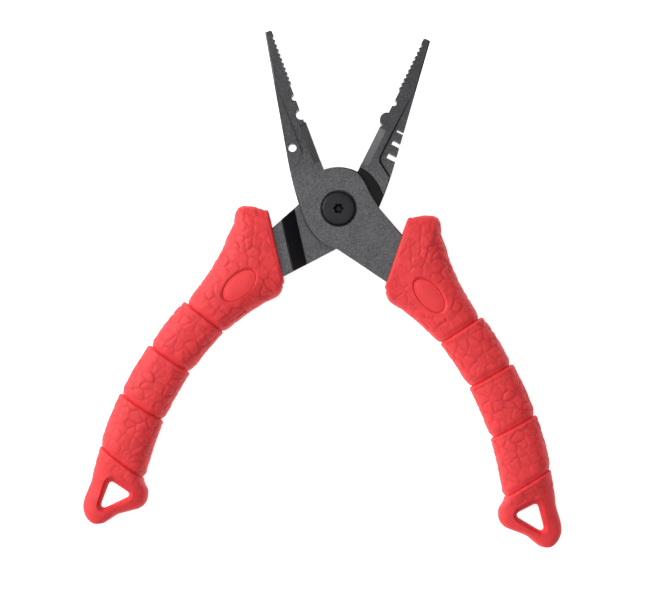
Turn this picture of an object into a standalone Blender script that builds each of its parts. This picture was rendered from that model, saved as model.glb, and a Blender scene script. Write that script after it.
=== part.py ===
"""Fishing pliers: two coated steel levers crossed in a lap joint, each with a two-part moulded grip.

The pliers lie flat. +Z is up through their thickness and is the pivot's axis, and +Y is the line
that halves the angle between the jaws. The origin is on the pivot's axis, level with the levers' back
faces. Named sizes are in millimetres and degrees, and new_object() turns them into metres.

One lever and its grip are drawn once, closed, seen from the front: the jaw's inner edge lies along
x = 0, its jaw is at -x and its handle at +x. The front half is that drawing. The rear half is the same
drawing turned half a turn about the Y axis, with another crimping tooth and other tool openings.
"""

import math

import bmesh
import bpy
from mathutils import Vector

MILLIMETRE = 0.001

# Overall sizes
LEVER_THICKNESS = 9.0
JAW_LENGTH = 62.3  # pivot to tip
JAW_OPENING = 47.0  # between the jaws, as the pliers lie
BOSS_RADIUS = 13.5  # round rubbing face of the lap joint
FIT = 0.3  # gap between pieces that sit in or on each other

# Lap joint
RUBBING_GAP = 0.3  # between the two rubbing faces
BOSS_RELIEF = 0.3  # floor round a rubbing face, below it
WALL_CLEARANCE = 1.7  # rubbing face's rim to the jaw's round wall
RAMP_CLEARANCE = 0.6  # rubbing face's rim to the foot of the tang's ramp
RAMP_LENGTH = 5.0
RAMP_TO_COLLAR = 3.1

# Pivot hardware
HEAD_RADIUS = 5.45
HEAD_THICKNESS = 1.4
HEAD_CROWN = 0.35
SHANK_RADIUS = 2.4
DRIVE_RADIUS = 1.55
DRIVE_LOBE = 0.28
DRIVE_DEPTH = 2.2
SLEEVE_WALL = 1.3
FLANGE_THICKNESS = 1.2
FLANGE_RADIUS = 6.0
FLANGE_FLAT = 4.9  # pivot's axis to the flat that keeps the sleeve from turning
COUNTERBORE_RADIUS = 6.05
COUNTERBORE_DEPTH = 2.4
HEAD_WASHER_THICKNESS = 0.3
JOINT_WASHER_THICKNESS = 0.8
JOINT_WASHER_WIDTH = 3.0

# Jaw
JAW_TIP_WIDTH = 2.3
JAW_TIP_THICKNESS = 5.0
TIP_CORNER = 0.5
EDGE_GAP = 0.08  # a cutting edge or a tooth's crest stands this far from the closed line
LAND_GAP = 0.65  # the plain land between the tools
EDGE_CHAMFER = 0.4
WALL_TO_CUTTER = 1.3
CUTTER_LENGTH = 13.3
CUTTER_BEVEL = 2.5
CUTTER_LAND = 1.0  # flat left along the cutting edge
CUTTER_TO_CRIMP = 3.2
CRIMP_RADIUS = 1.8
CRIMP_TO_NOTCH = 5.9
NOTCH_RADIUS = 1.1
CRIMP_TOOTH_RADIUS = 2.24
CRIMP_TOOTH_HEIGHT = 1.8
NOTCH_TO_TEETH = 4.4
TOOTH_PITCH = 1.62
TOOTH_DEPTH = 0.75
TIP_LAND = 0.9

# Outer edge of the jaw and the joint, as insets from the boss's radius
JAW_HEEL = (3.5, 7.0)  # inset, and height above the boss's top
WAIST_INSET = 1.75  # level with the pivot
WAIST_PULLS = ((1.6, 0.74), (2.2, -0.63))  # inset, and share of the boss's radius up or down
BOSS_SIDE = ((1.24, -11.8), (1.23, 24.1), (0.5, 34.2))  # inset and angle
BOSS_ROUND = (42.3, 87)  # angles between which the rim is a true circle

# Sunk panel along the jaw's outer edge, on both faces
PANEL_DEPTH = 1.1
PANEL_EDGE = 4.9  # closed line to the panel's long wall
PANEL_START = 5.0  # beyond the joint's round wall
PANEL_LENGTH = 34.0
PANEL_SLOPE = 0.55  # the short end slants towards the joint
PANEL_CORNER = 1.6
PANEL_DRAFT = 0.5
HOLE_RADIUS = 1.35  # front jaw
HOLE_FROM_EDGE = 7.15
HOLE_FROM_WALL = 8.65
SLOTS = ((6.55, 1.85, 6.6), (11.2, 1.6, 6.1), (15.6, 1.0, 5.7))  # rear jaw: from wall, width, floor

# Tang: the collar line, and so the ramp, is square to this direction
TANG_ANGLE = -39.1
TANG_WIDTH = 16.2  # at the collar
TANG_SHIFT = -9.5  # its middle, along the collar line
SHOULDER_DEPTH = 3.0  # full-thickness tang inside the grip
TANG_FEET = ((3.7, -12.6), (12.1, 4.6))  # where its two sides leave the boss, out and along the collar
TANG_THICKNESS = 5.0  # inside the grip's core
TANG_TO_CORE_END = 4.0
TANG_POINT = 1.5  # its end narrows to half over this length
TANG_TAPER = 0.7

# Handle: an arc, with distances along it and out from it
HANDLE_RADIUS = 141.5
HANDLE_START_ANGLE = 27.5
HANDLE_SHIFT = -8.46  # the arc's start, along the collar line
COLLAR_ENDS = (-20.2, 4.3)  # along the collar line
# The thumb guard: places along the arc and out from it, inner side then outer side
GUARD = (
    ((6.6, -11.0), (-3.3, 13.5)),
    ((8.0, -11.7), (-1.3, 16.2)),
    ((9.2, -12.1), (1.4, 18.1)),
    ((10.3, -12.1), (3.6, 17.5)),
    ((11.6, -11.9), (6.1, 14.9)),
    ((12.8, -11.6), (8.7, 13.9)),
    ((15.0, -11.1), (13.8, 11.3)),
    ((20.0, -10.0), (20.0, 9.1)),
    ((25.5, -9.2), (26.0, 8.1)),
)
FIRST_SEGMENT = 33.2
SEGMENT_PITCH = 17.25
STEP_SLANTS = (-0.6, 0.5, 2.3, 6.0)  # how much later each step comes on the inner side
# Half-widths where each segment starts and where it ends: inner side, then outer side
SEGMENT_WIDTHS = (
    ((9.2, 8.1), (8.5, 7.7)),
    ((8.3, 8.35), (7.4, 8.75)),
    ((7.65, 9.0), (7.5, 9.3)),
    ((7.9, 9.2), (8.95, 8.7)),
)
NECK_DEPTH = 0.8
NECK_LENGTH = 2.0
STEP_LENGTH = 0.6
COLLAR_WALL = 1.8
SKIN_WALL = 2.3
CORE_WALL = 1.9
CORE_SIDE_WALL = 1.4
CORE_HALF_WIDTH = 5.0
CORE_FLARE = 1.3  # wider at the shoulder
CORE_TO_LAST_STEP = 0.95
CORE_FLARE_END = 0.4  # share of the core's length
COLLAR_SQUARENESS = 4.5  # 2 is an ellipse
GRIP_SQUARENESS = 2.6
CORE_SQUARENESS = 4.0

# Oval pads of the core that show in the grip's windows
OVAL_ALONG = 17.3
OVAL_OUT = -1.4
OVAL_LENGTH = 12.4
OVAL_WIDTH = 6.4
OVAL_GROOVE = 0.4
OVAL_SUNK = 0.4

# Lanyard loop: places past the last step and out from the arc, inner side then outer side, and thickness
LOOP = (
    ((6.3, -8.4), (0.6, 8.1), 13.6),
    ((7.8, -9.3), (5.0, 8.1), 12.6),
    ((9.6, -11.0), (8.0, 8.0), 11.4),
    ((13.2, -11.4), (11.2, 7.8), 10.2),
    ((16.0, -9.9), (14.3, 8.2), 9.4),
    ((17.9, -6.8), (17.0, 8.6), 8.8),
    ((19.8, -3.3), (19.6, 8.5), 8.4),
    ((22.0, -1.0), (22.0, 7.4), 8.2),
    ((23.5, 0.7), (23.5, 5.9), 7.4),
    ((24.1, 2.3), (24.1, 4.7), 6.0),
)
LOOP_HOLE = ((12.3, -5.7), (8.7, 2.7), (19.5, 3.6))
LOOP_CORNER = 1.2

# Colour, roughness, metallic
COATED_STEEL = ((0.085, 0.086, 0.09), 0.5, 0.8)
BLACK_STEEL = ((0.03, 0.031, 0.034), 0.4, 0.8)
BLACK_POLYMER = ((0.012, 0.012, 0.013), 0.6, 0.0)
BRONZE = ((0.45, 0.28, 0.11), 0.4, 1.0)
RED_RUBBER = ((0.72, 0.045, 0.05), 0.5, 0.0)
RED_NYLON = ((0.62, 0.035, 0.04), 0.38, 0.0)

# Places worked out from the sizes
MIDDLE = LEVER_THICKNESS / 2
WALL_RADIUS = BOSS_RADIUS + WALL_CLEARANCE
RAMP_FOOT = BOSS_RADIUS + RAMP_CLEARANCE
COLLAR = RAMP_FOOT + RAMP_LENGTH + RAMP_TO_COLLAR
SHOULDER = COLLAR + SHOULDER_DEPTH
SLEEVE_BORE = SHANK_RADIUS + FIT
SLEEVE_RADIUS = SLEEVE_BORE + SLEEVE_WALL
PIVOT_BORE = SLEEVE_RADIUS + FIT
COUNTERBORE_FLOOR = LEVER_THICKNESS - COUNTERBORE_DEPTH
HEAD_UNDERSIDE = COUNTERBORE_FLOOR + HEAD_WASHER_THICKNESS + 2 * FIT
WASHER_RADIUS = PIVOT_BORE + JOINT_WASHER_WIDTH
CORE_THICKNESS = TANG_THICKNESS + 2 * (FIT + CORE_WALL)
SKIN_THICKNESS = CORE_THICKNESS + 2 * (FIT + SKIN_WALL)
COLLAR_THICKNESS = LEVER_THICKNESS + 2 * (FIT + COLLAR_WALL)
LAST_STEP = FIRST_SEGMENT + (len(SEGMENT_WIDTHS) - 1) * SEGMENT_PITCH
CORE_END = LAST_STEP - CORE_TO_LAST_STEP
TANG_END = CORE_END - TANG_TO_CORE_END
CUTTER_START = WALL_RADIUS + WALL_TO_CUTTER
CUTTER_END = CUTTER_START + CUTTER_LENGTH
CRIMP_PLACE = CUTTER_END + CUTTER_TO_CRIMP
NOTCH_PLACE = CRIMP_PLACE + CRIMP_TO_NOTCH
TEETH_START = NOTCH_PLACE + NOTCH_TO_TEETH
OUTSIDE = 40.0  # how far a cutter runs past what it cuts
ROUND_STEPS = 40


# Outlines


def polar(radius, degrees):
    """The point at this radius and angle from the pivot."""
    angle = math.radians(degrees)
    return (radius * math.cos(angle), radius * math.sin(angle))


def arc(centre, radius, start, end, steps):
    """Points on an arc, from one angle to another."""
    angles = (start + (end - start) * step / steps for step in range(steps + 1))
    turned_points = (polar(radius, angle) for angle in angles)
    return [(centre[0] + x, centre[1] + y) for x, y in turned_points]


def circle(centre, radius, steps=ROUND_STEPS):
    return arc(centre, radius, 0, 360, steps)[:-1]


def curve(start, pull, end, steps=8):
    """Points on a smooth curve that is drawn towards one point."""
    points = []
    for step in range(steps + 1):
        t = step / steps
        weights = ((1 - t) ** 2, 2 * t * (1 - t), t * t)
        points.append(
            tuple(sum(w * p[axis] for w, p in zip(weights, (start, pull, end))) for axis in (0, 1))
        )
    return points


def rounded(corners, radius, steps=5):
    """The outline with each corner turned into an arc."""
    points = []
    for index, corner in enumerate(corners):
        here = Vector(corner)
        before = (Vector(corners[index - 1]) - here).normalized()
        after = (Vector(corners[(index + 1) % len(corners)]) - here).normalized()
        half = before.angle(after) / 2
        reach = radius / math.tan(half)
        points += curve(here + before * reach, here, here + after * reach, steps)
    return [tuple(point) for point in points]


def past_boss(distance, sideways):
    """A point of the tang: how far out from the pivot towards the handle, and how far along the collar."""
    out = Vector(polar(1, TANG_ANGLE))
    along = Vector(polar(1, TANG_ANGLE + 90))
    return tuple(out * distance + along * sideways)


def on_handle(along, outwards):
    """A point of the handle: how far along its arc from the collar, and how far out from the arc."""
    start = Vector(past_boss(COLLAR, HANDLE_SHIFT))
    centre = start - Vector(polar(HANDLE_RADIUS, HANDLE_START_ANGLE))
    angle = HANDLE_START_ANGLE - math.degrees(along / HANDLE_RADIUS)
    return tuple(centre + Vector(polar(HANDLE_RADIUS + outwards, angle)))


# Mesh makers


def prism(low, high, z_low, z_high):
    """A solid between an outline at one level and an outline with as many points at another."""
    mesh = bmesh.new()
    bottom = [mesh.verts.new((x, y, z_low)) for x, y in low]
    top = [mesh.verts.new((x, y, z_high)) for x, y in high]
    mesh.faces.new(bottom)
    mesh.faces.new(top)
    for index in range(len(bottom)):
        mesh.faces.new((bottom[index - 1], bottom[index], top[index], top[index - 1]))
    bmesh.ops.recalc_face_normals(mesh, faces=mesh.faces)
    return mesh


def slab(outline, z_low, z_high):
    return prism(outline, outline, z_low, z_high)


def turned(profile):
    """A round solid about the pivot's axis, from a profile of radius and height."""
    mesh = bmesh.new()
    rings = []
    for radius, height in profile:
        points = circle((0, 0), radius) if radius else [(0, 0)]
        rings.append([mesh.verts.new((x, y, height)) for x, y in points])
    for low, high in zip(rings, rings[1:] + rings[:1]):
        for index in range(ROUND_STEPS):
            around = (index, (index + 1) % ROUND_STEPS)
            corners = [low[place % len(low)] for place in around]
            corners += [high[place % len(high)] for place in reversed(around)]
            corners = list(dict.fromkeys(corners))
            if len(corners) > 2:
                mesh.faces.new(corners)
    bmesh.ops.recalc_face_normals(mesh, faces=mesh.faces)
    return mesh


def loft(stations, points_round):
    """A solid through cross-sections: an inner and an outer point, the thickness and how square it is."""
    mesh = bmesh.new()
    rings = []
    for inner, outer, thickness, squareness in stations:
        middle = (Vector(inner) + Vector(outer)) / 2
        half = (Vector(outer) - Vector(inner)) / 2
        ring = []
        for index in range(points_round):
            angle = 2 * math.pi * index / points_round
            across = math.copysign(abs(math.cos(angle)) ** (2 / squareness), math.cos(angle))
            upwards = math.copysign(abs(math.sin(angle)) ** (2 / squareness), math.sin(angle))
            x, y = middle + half * across
            ring.append(mesh.verts.new((x, y, MIDDLE + thickness / 2 * upwards)))
        rings.append(ring)
    for low, high in zip(rings, rings[1:]):
        for index in range(points_round):
            mesh.faces.new((low[index - 1], low[index], high[index], high[index - 1]))
    mesh.faces.new(rings[0])
    mesh.faces.new(rings[-1])
    bmesh.ops.recalc_face_normals(mesh, faces=mesh.faces)
    return mesh


# Objects


def new_material(name, look):
    colour, roughness, metallic = look
    material = bpy.data.materials.new(name)
    material.use_nodes = True
    shader = material.node_tree.nodes["Principled BSDF"]
    shader.inputs["Base Color"].default_value = (*colour, 1)
    shader.inputs["Roughness"].default_value = roughness
    shader.inputs["Metallic"].default_value = metallic
    return material


def new_object(name, mesh, half, material=None):
    """An object of the front or the rear half, in metres. Without a material it is a hidden cutter."""
    bmesh.ops.triangulate(mesh, faces=[face for face in mesh.faces if len(face.verts) > 4])
    data = bpy.data.meshes.new(name)
    mesh.to_mesh(data)
    mesh.free()
    for vertex in data.vertices:
        vertex.co *= MILLIMETRE
    made = bpy.data.objects.new(name, data)
    bpy.context.scene.collection.objects.link(made)
    made.parent = bpy.data.objects[half]
    if material:
        data.shade_smooth()
        data.set_sharp_from_angle(angle=math.radians(35))
        data.materials.append(new_material(name, material))
    else:
        made.hide_render = True
        made.display_type = "WIRE"
    return made


def turn_over(made):
    """Turns an object of the drawing half a turn about the Y axis, at half the levers' thickness."""
    made.rotation_euler = (0, math.pi, 0)
    made.location = (0, 0, LEVER_THICKNESS * MILLIMETRE)


def change(made, tool, operation):
    modifier = made.modifiers.new(tool.name, "BOOLEAN")
    modifier.object = tool
    modifier.operation = operation
    modifier.solver = "EXACT"


class Half:
    """One half of the pliers: the empty on the pivot's axis, and whether its drawing is turned over."""

    def __init__(self, name, opening, over):
        self.name = name
        self.over = over
        self.axis = bpy.data.objects.new(name + "_axis", None)
        self.axis.rotation_euler = (0, 0, math.radians(opening))
        bpy.context.scene.collection.objects.link(self.axis)

    def add(self, name, mesh, material=None):
        made = new_object(f"{self.name}_{name}", mesh, self.axis.name, material)
        if self.over:
            turn_over(made)
        return made

    def cut(self, made, name, mesh):
        change(made, self.add(name + "_cutter", mesh), "DIFFERENCE")


# Levers


def inner_edge(has_tooth):
    """The jaw's inner edge from the joint to the tip: cutter, crimper, wire notch and grasping teeth."""
    boss_top = math.sqrt(BOSS_RADIUS**2 - EDGE_GAP**2)
    points = [(-EDGE_GAP, boss_top), (-EDGE_GAP, CUTTER_END), (-LAND_GAP, CUTTER_END + LAND_GAP)]
    if has_tooth:
        middle = CRIMP_TOOTH_HEIGHT - CRIMP_TOOTH_RADIUS - LAND_GAP
        reach = math.degrees(math.acos((-LAND_GAP - middle) / CRIMP_TOOTH_RADIUS))
        points += arc((middle, CRIMP_PLACE), CRIMP_TOOTH_RADIUS, -reach, reach, 12)
    else:
        points += arc((-LAND_GAP, CRIMP_PLACE), CRIMP_RADIUS, 270, 90, 10)
    points += arc((-LAND_GAP, NOTCH_PLACE), NOTCH_RADIUS, 270, 90, 8)
    points.append((-LAND_GAP, TEETH_START - TOOTH_PITCH / 2))
    teeth = int((JAW_LENGTH - TIP_LAND - TEETH_START) / TOOTH_PITCH)
    for tooth in range(teeth):
        root = TEETH_START + tooth * TOOTH_PITCH
        points.append((-EDGE_GAP - TOOTH_DEPTH, root))
        points.append((-EDGE_GAP, root + TOOTH_PITCH / 2))
    points.append((-EDGE_GAP, JAW_LENGTH - TIP_CORNER))
    points.append((-EDGE_GAP - TIP_CORNER, JAW_LENGTH))
    return points


def tang_sides(distance):
    """Both sides of the tang's root at this distance from the pivot, as places along the collar line."""
    sides = []
    for (foot, place), end in zip(TANG_FEET, (-1, 1)):
        share = (distance - foot) / (COLLAR - foot)
        sides.append(place + (TANG_SHIFT + end * TANG_WIDTH / 2 - place) * share)
    return sides


def tang_tail(start, extra):
    """The narrow tang inside the grip, from this distance on and this much wider all round."""
    root = CORE_HALF_WIDTH - CORE_SIDE_WALL - FIT
    lean = math.tan(math.radians(TANG_ANGLE + 90 - HANDLE_START_ANGLE))
    middle = TANG_SHIFT + (SHOULDER - start) * lean
    inner = [past_boss(start, middle - root - extra / math.cos(math.atan(lean)))]
    outer = [past_boss(start, middle + root + extra / math.cos(math.atan(lean)))]
    steps = 6
    for step in range(1, steps + 1):
        along = TANG_END * step / steps
        width = root - TANG_TAPER * step / steps + extra
        inner.append(on_handle(along, -width))
        outer.append(on_handle(along, width))
    point = TANG_END + TANG_POINT + extra
    end = [on_handle(point, -width / 2), on_handle(point, width / 2)]
    return inner + end + outer[::-1]


def lever_outline(has_tooth):
    """Anticlockwise from the top of the boss: inner edge, tip, outer edge, boss, tang, boss."""
    points = inner_edge(has_tooth)
    tip = Vector((-EDGE_GAP - JAW_TIP_WIDTH, JAW_LENGTH))
    heel = Vector((JAW_HEEL[0] - BOSS_RADIUS, BOSS_RADIUS + JAW_HEEL[1]))
    points += [tuple(tip), tuple(tip.lerp(heel, (tip.y - CUTTER_END) / (tip.y - heel.y)))]
    waist = (WAIST_INSET - BOSS_RADIUS, 0)
    above, below = ((inset - BOSS_RADIUS, share * BOSS_RADIUS) for inset, share in WAIST_PULLS)
    points += curve(heel, above, waist)
    points += curve(waist, below, past_boss(*TANG_FEET[0]))[1:]
    sides = tang_sides(SHOULDER)
    points.append(past_boss(SHOULDER, sides[0]))
    points += tang_tail(SHOULDER, 0)
    points.append(past_boss(SHOULDER, sides[1]))
    points.append(past_boss(*TANG_FEET[1]))
    points += [polar(BOSS_RADIUS - inset, angle) for inset, angle in BOSS_SIDE]
    points += arc((0, 0), BOSS_RADIUS, *BOSS_ROUND, 9)
    return points


def chamfered(outline):
    """The outline drawn in by the chamfer, except along the jaw's working edge."""
    points = []
    for index, corner in enumerate(outline):
        here = Vector(corner)
        if here.x > -JAW_TIP_WIDTH - EDGE_GAP and here.y > BOSS_RADIUS - 1:
            points.append(corner)
            continue
        before = (here - Vector(outline[index - 1])).normalized()
        after = (Vector(outline[(index + 1) % len(outline)]) - here).normalized()
        inwards = Vector((-before.y - after.y, before.x + after.x)).normalized()
        points.append(tuple(here + inwards * EDGE_CHAMFER / inwards.dot(Vector((-after.y, after.x)))))
    return points


def lever_blank(has_tooth):
    """The whole outline at full thickness, its outer edges chamfered and its jaw thinned to the tip."""
    outline = lever_outline(has_tooth)
    small = chamfered(outline)
    levels = (
        (small, 0),
        (outline, EDGE_CHAMFER),
        (outline, LEVER_THICKNESS - EDGE_CHAMFER),
        (small, LEVER_THICKNESS),
    )
    mesh = bmesh.new()
    rings = [[mesh.verts.new((x, y, z)) for x, y in points] for points, z in levels]
    for low, high in zip(rings, rings[1:]):
        for index in range(len(outline)):
            mesh.faces.new((low[index - 1], low[index], high[index], high[index - 1]))
    crease = [index for index, point in enumerate(outline) if abs(point[1] - CUTTER_END) < FIT / 100]
    for face in (rings[0], rings[-1]):
        mesh.faces.new(face[crease[0] : crease[1] + 1])
        mesh.faces.new(face[crease[1] :] + face[: crease[0] + 1])
    for vertex in mesh.verts:
        share = (vertex.co.y - CUTTER_END) / (JAW_LENGTH - CUTTER_END)
        thinning = max(0, share) * (1 - JAW_TIP_THICKNESS / LEVER_THICKNESS)
        vertex.co.z = MIDDLE + (vertex.co.z - MIDDLE) * (1 - thinning)
    bmesh.ops.recalc_face_normals(mesh, faces=mesh.faces)
    return mesh


def lap_outline(foot):
    """What the other half's boss sweeps: inside the jaw's round wall, and up to the tang's ramp."""
    points = arc((0, 0), WALL_RADIUS, 80, 160, 16)
    points.append((-OUTSIDE, 0))
    points.append((-OUTSIDE, -OUTSIDE))
    points.append(past_boss(foot, -OUTSIDE))
    points.append(past_boss(foot, OUTSIDE / 2))
    return points


def panel_outline(draft):
    """The sunk panel along the jaw's outer edge, larger all round by the draft."""
    start = WALL_RADIUS + PANEL_START - draft
    wall = -PANEL_EDGE + draft
    corner = (wall, start)
    fall = PANEL_CORNER * PANEL_SLOPE
    bend = curve((wall - PANEL_CORNER, start - fall), corner, (wall, start + PANEL_CORNER), 4)
    far = start + PANEL_LENGTH
    return [(wall, far), (-OUTSIDE, far), (-OUTSIDE, start - PANEL_SLOPE * OUTSIDE)] + bend


def cut_edge_bevels(half, lever):
    """Grinds the cutter's edge from both faces, and leaves a narrow land along the middle."""
    reach = 1.0
    rise = MIDDLE - CUTTER_LAND / 2
    lean = (CUTTER_BEVEL - EDGE_GAP) / rise * reach
    for face, up in (("top", 1), ("bottom", -1)):
        section = (
            (-CUTTER_BEVEL - lean, MIDDLE + up * (MIDDLE + reach)),
            (2, MIDDLE + up * (MIDDLE + reach)),
            (2, MIDDLE + up * CUTTER_LAND / 2),
            (-EDGE_GAP, MIDDLE + up * CUTTER_LAND / 2),
        )
        mesh = slab(section, CUTTER_START, CUTTER_END)
        for vertex in mesh.verts:
            vertex.co = (vertex.co.x, vertex.co.z, vertex.co.y)
        bmesh.ops.recalc_face_normals(mesh, faces=mesh.faces)
        half.cut(lever, f"edge_bevel_{face}", mesh)


def make_lever(half, has_tooth):
    lever = half.add("lever", lever_blank(has_tooth), COATED_STEEL)
    rubbing_face = MIDDLE + RUBBING_GAP / 2
    slope = RAMP_LENGTH / rubbing_face
    below = 1.0
    ramp_top = lap_outline(RAMP_FOOT + RAMP_LENGTH + below * slope)
    half.cut(lever, "lap", prism(ramp_top, lap_outline(RAMP_FOOT), -below, rubbing_face))
    sunk = slab(lap_outline(RAMP_FOOT), MIDDLE - 1, rubbing_face + BOSS_RELIEF)
    relief = half.add("relief_cutter", sunk)
    half.cut(relief, "rubbing_face", slab(circle((0, 0), BOSS_RADIUS), MIDDLE - 2, MIDDLE + 2))
    change(lever, relief, "DIFFERENCE")
    bore = slab(circle((0, 0), PIVOT_BORE), -below, LEVER_THICKNESS + below)
    half.cut(lever, "pivot_bore", bore)
    washer_floor = MIDDLE + JOINT_WASHER_THICKNESS / 2 + FIT
    half.cut(lever, "joint_washer_seat", slab(circle((0, 0), WASHER_RADIUS + FIT), 1, washer_floor))
    over = LEVER_THICKNESS + below
    for face, low, high in (("top", LEVER_THICKNESS - PANEL_DEPTH, over), ("bottom", PANEL_DEPTH, -below)):
        wide = PANEL_DRAFT * (below + PANEL_DEPTH) / PANEL_DEPTH
        half.cut(lever, f"panel_{face}", prism(panel_outline(0), panel_outline(wide), low, high))
    cut_edge_bevels(half, lever)
    ledge = SHOULDER + FIT / 3
    far = SHOULDER + 4 * OUTSIDE
    beyond_shoulder = [
        past_boss(ledge, -OUTSIDE),
        past_boss(far, -4 * OUTSIDE),
        past_boss(far, OUTSIDE),
        past_boss(ledge, OUTSIDE),
    ]
    tang_top = MIDDLE + TANG_THICKNESS / 2
    half.cut(lever, "tang_top", slab(beyond_shoulder, tang_top, over))
    half.cut(lever, "tang_bottom", slab(beyond_shoulder, -below, LEVER_THICKNESS - tang_top))
    return lever


def make_front_lever(half):
    lever = make_lever(half, has_tooth=False)
    over = LEVER_THICKNESS + 1
    half.cut(lever, "counterbore", slab(circle((0, 0), COUNTERBORE_RADIUS), COUNTERBORE_FLOOR, over))
    hole = circle((-HOLE_FROM_EDGE, WALL_RADIUS + HOLE_FROM_WALL), HOLE_RADIUS, 20)
    half.cut(lever, "hole", slab(hole, -1, over))


def make_rear_lever(half):
    lever = make_lever(half, has_tooth=True)
    over = LEVER_THICKNESS + 1
    pocket = flange_outline(FIT)
    half.cut(lever, "flange_pocket", slab(pocket, LEVER_THICKNESS - FLANGE_THICKNESS - FIT, over))
    for number, (start, width, floor) in enumerate(SLOTS, 1):
        low = WALL_RADIUS + start
        slot = [(-OUTSIDE, low), (-floor, low), (-floor, low + width), (-OUTSIDE, low + width)]
        half.cut(lever, f"slot_{number}", slab(slot, -1, over))


# Pivot


def flange_outline(extra):
    """The sleeve's round flange with one flat towards the jaws."""
    radius = FLANGE_RADIUS + extra
    corner = math.degrees(math.asin((FLANGE_FLAT + extra) / radius))
    return arc((0, 0), radius, 180 - corner, 360 + corner, ROUND_STEPS)


def make_pivot_sleeve(axis):
    """A barrel nut, put in from the back, with a plain flat flange."""
    low = FLANGE_THICKNESS / 2
    high = COUNTERBORE_FLOOR - FIT
    sleeve = new_object("pivot_sleeve", slab(flange_outline(0), 0, FLANGE_THICKNESS), axis, BLACK_STEEL)
    barrel = turned(((0, low), (SLEEVE_RADIUS, low), (SLEEVE_RADIUS, high), (0, high)))
    change(sleeve, new_object("sleeve_barrel", barrel, axis), "UNION")
    bore = slab(circle((0, 0), SLEEVE_BORE), FLANGE_THICKNESS, LEVER_THICKNESS)
    change(sleeve, new_object("sleeve_bore_cutter", bore, axis), "DIFFERENCE")


def make_pivot_screw(axis):
    """A low crowned head with a six-lobe drive, on a plain shank that runs down inside the sleeve."""
    tip = FLANGE_THICKNESS + FIT
    lead = 0.4
    rim = HEAD_UNDERSIDE + HEAD_THICKNESS
    profile = [(0, tip), (SHANK_RADIUS - lead, tip), (SHANK_RADIUS, tip + lead)]
    profile += [(SHANK_RADIUS, HEAD_UNDERSIDE), (HEAD_RADIUS, HEAD_UNDERSIDE), (HEAD_RADIUS, rim)]
    steps = 6
    for step in range(1, steps):
        angle = math.radians(90 * step / steps)
        profile.append((HEAD_RADIUS * math.cos(angle), rim + HEAD_CROWN * math.sin(angle)))
    profile.append((0, rim + HEAD_CROWN))
    screw = new_object("pivot_screw", turned(profile), axis, BLACK_STEEL)
    drive = []
    for angle in range(0, 360, 10):
        lobe = DRIVE_LOBE / 2 * (math.cos(math.radians(6 * angle)) - 1)
        drive.append(polar(DRIVE_RADIUS + lobe, angle))
    floor = rim + HEAD_CROWN - DRIVE_DEPTH
    socket = slab(drive, floor, floor + 2 * DRIVE_DEPTH)
    change(screw, new_object("drive_cutter", socket, axis), "DIFFERENCE")


def make_washers(axis):
    """A thin one under the screw's head, and a thicker one let into both rubbing faces."""
    low = COUNTERBORE_FLOOR + FIT
    flat = washer(SHANK_RADIUS + 2 * FIT, COUNTERBORE_RADIUS - FIT, low, HEAD_WASHER_THICKNESS)
    new_object("head_washer", flat, axis, BLACK_POLYMER)
    low = MIDDLE - JOINT_WASHER_THICKNESS / 2
    thick = washer(PIVOT_BORE, WASHER_RADIUS, low, JOINT_WASHER_THICKNESS)
    new_object("joint_washer", thick, axis, BRONZE)


def washer(inner, outer, low, thickness):
    high = low + thickness
    return turned(((inner, low), (outer, low), (outer, high), (inner, high)))


# Grips


def grip_stations():
    """Cross-sections of the soft grip: collar, thumb guard, necked segments with raised lips, and loop."""
    inner, outer = (past_boss(COLLAR + FIT, end) for end in COLLAR_ENDS)
    stations = [(inner, outer, COLLAR_THICKNESS, COLLAR_SQUARENESS)]
    for number, (inner, outer) in enumerate(GUARD, 1):
        share = min(1, number / 6)
        thickness = COLLAR_THICKNESS + (SKIN_THICKNESS - COLLAR_THICKNESS) * share
        squareness = COLLAR_SQUARENESS + (GRIP_SQUARENESS - COLLAR_SQUARENESS) * share
        stations.append((on_handle(*inner), on_handle(*outer), thickness, squareness))
    neck = ((NECK_LENGTH + STEP_LENGTH, 0), (NECK_LENGTH, NECK_DEPTH), (STEP_LENGTH / 2, NECK_DEPTH))
    for index, slant in enumerate(STEP_SLANTS):
        step = FIRST_SEGMENT + index * SEGMENT_PITCH
        for back, depth in neck:
            stations.append(segment_station(step - back, slant, SEGMENT_WIDTHS[index][1], depth))
        if index < len(SEGMENT_WIDTHS) - 1:
            first, last = SEGMENT_WIDTHS[index + 1]
            stations.append(segment_station(step + STEP_LENGTH / 2, slant, first, 0))
            middle = [(a + b) / 2 for a, b in zip(first, last)]
            middle_slant = (slant + STEP_SLANTS[index + 1]) / 2
            stations.append(segment_station(step + SEGMENT_PITCH / 2, middle_slant, middle, 0))
    for inner, outer, thickness in LOOP:
        places = [on_handle(LAST_STEP + past, out) for past, out in (inner, outer)]
        stations.append((*places, thickness, GRIP_SQUARENESS))
    return stations


def segment_station(along, slant, widths, depth):
    inner = on_handle(along + slant, -widths[0] + depth)
    outer = on_handle(along, widths[1] - depth)
    return (inner, outer, SKIN_THICKNESS - 2 * depth, GRIP_SQUARENESS)


def core_stations(extra):
    """The hard core's cross-sections, this much larger all round."""
    thickness = CORE_THICKNESS + 2 * extra
    root = CORE_HALF_WIDTH + CORE_FLARE + extra
    start = SHOULDER + FIT - extra
    ends = (past_boss(start, TANG_SHIFT - root), past_boss(start, TANG_SHIFT + root))
    stations = [(*ends, thickness, CORE_SQUARENESS)]
    for share in (0.14, 0.25, 0.4, 0.6, 0.8, 1):
        width = CORE_HALF_WIDTH + CORE_FLARE * max(0, 1 - share / CORE_FLARE_END) + extra
        along = CORE_END * share + (extra if share == 1 else 0)
        ends = (on_handle(along, -width), on_handle(along, width))
        stations.append((*ends, thickness, CORE_SQUARENESS))
    return stations


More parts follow.
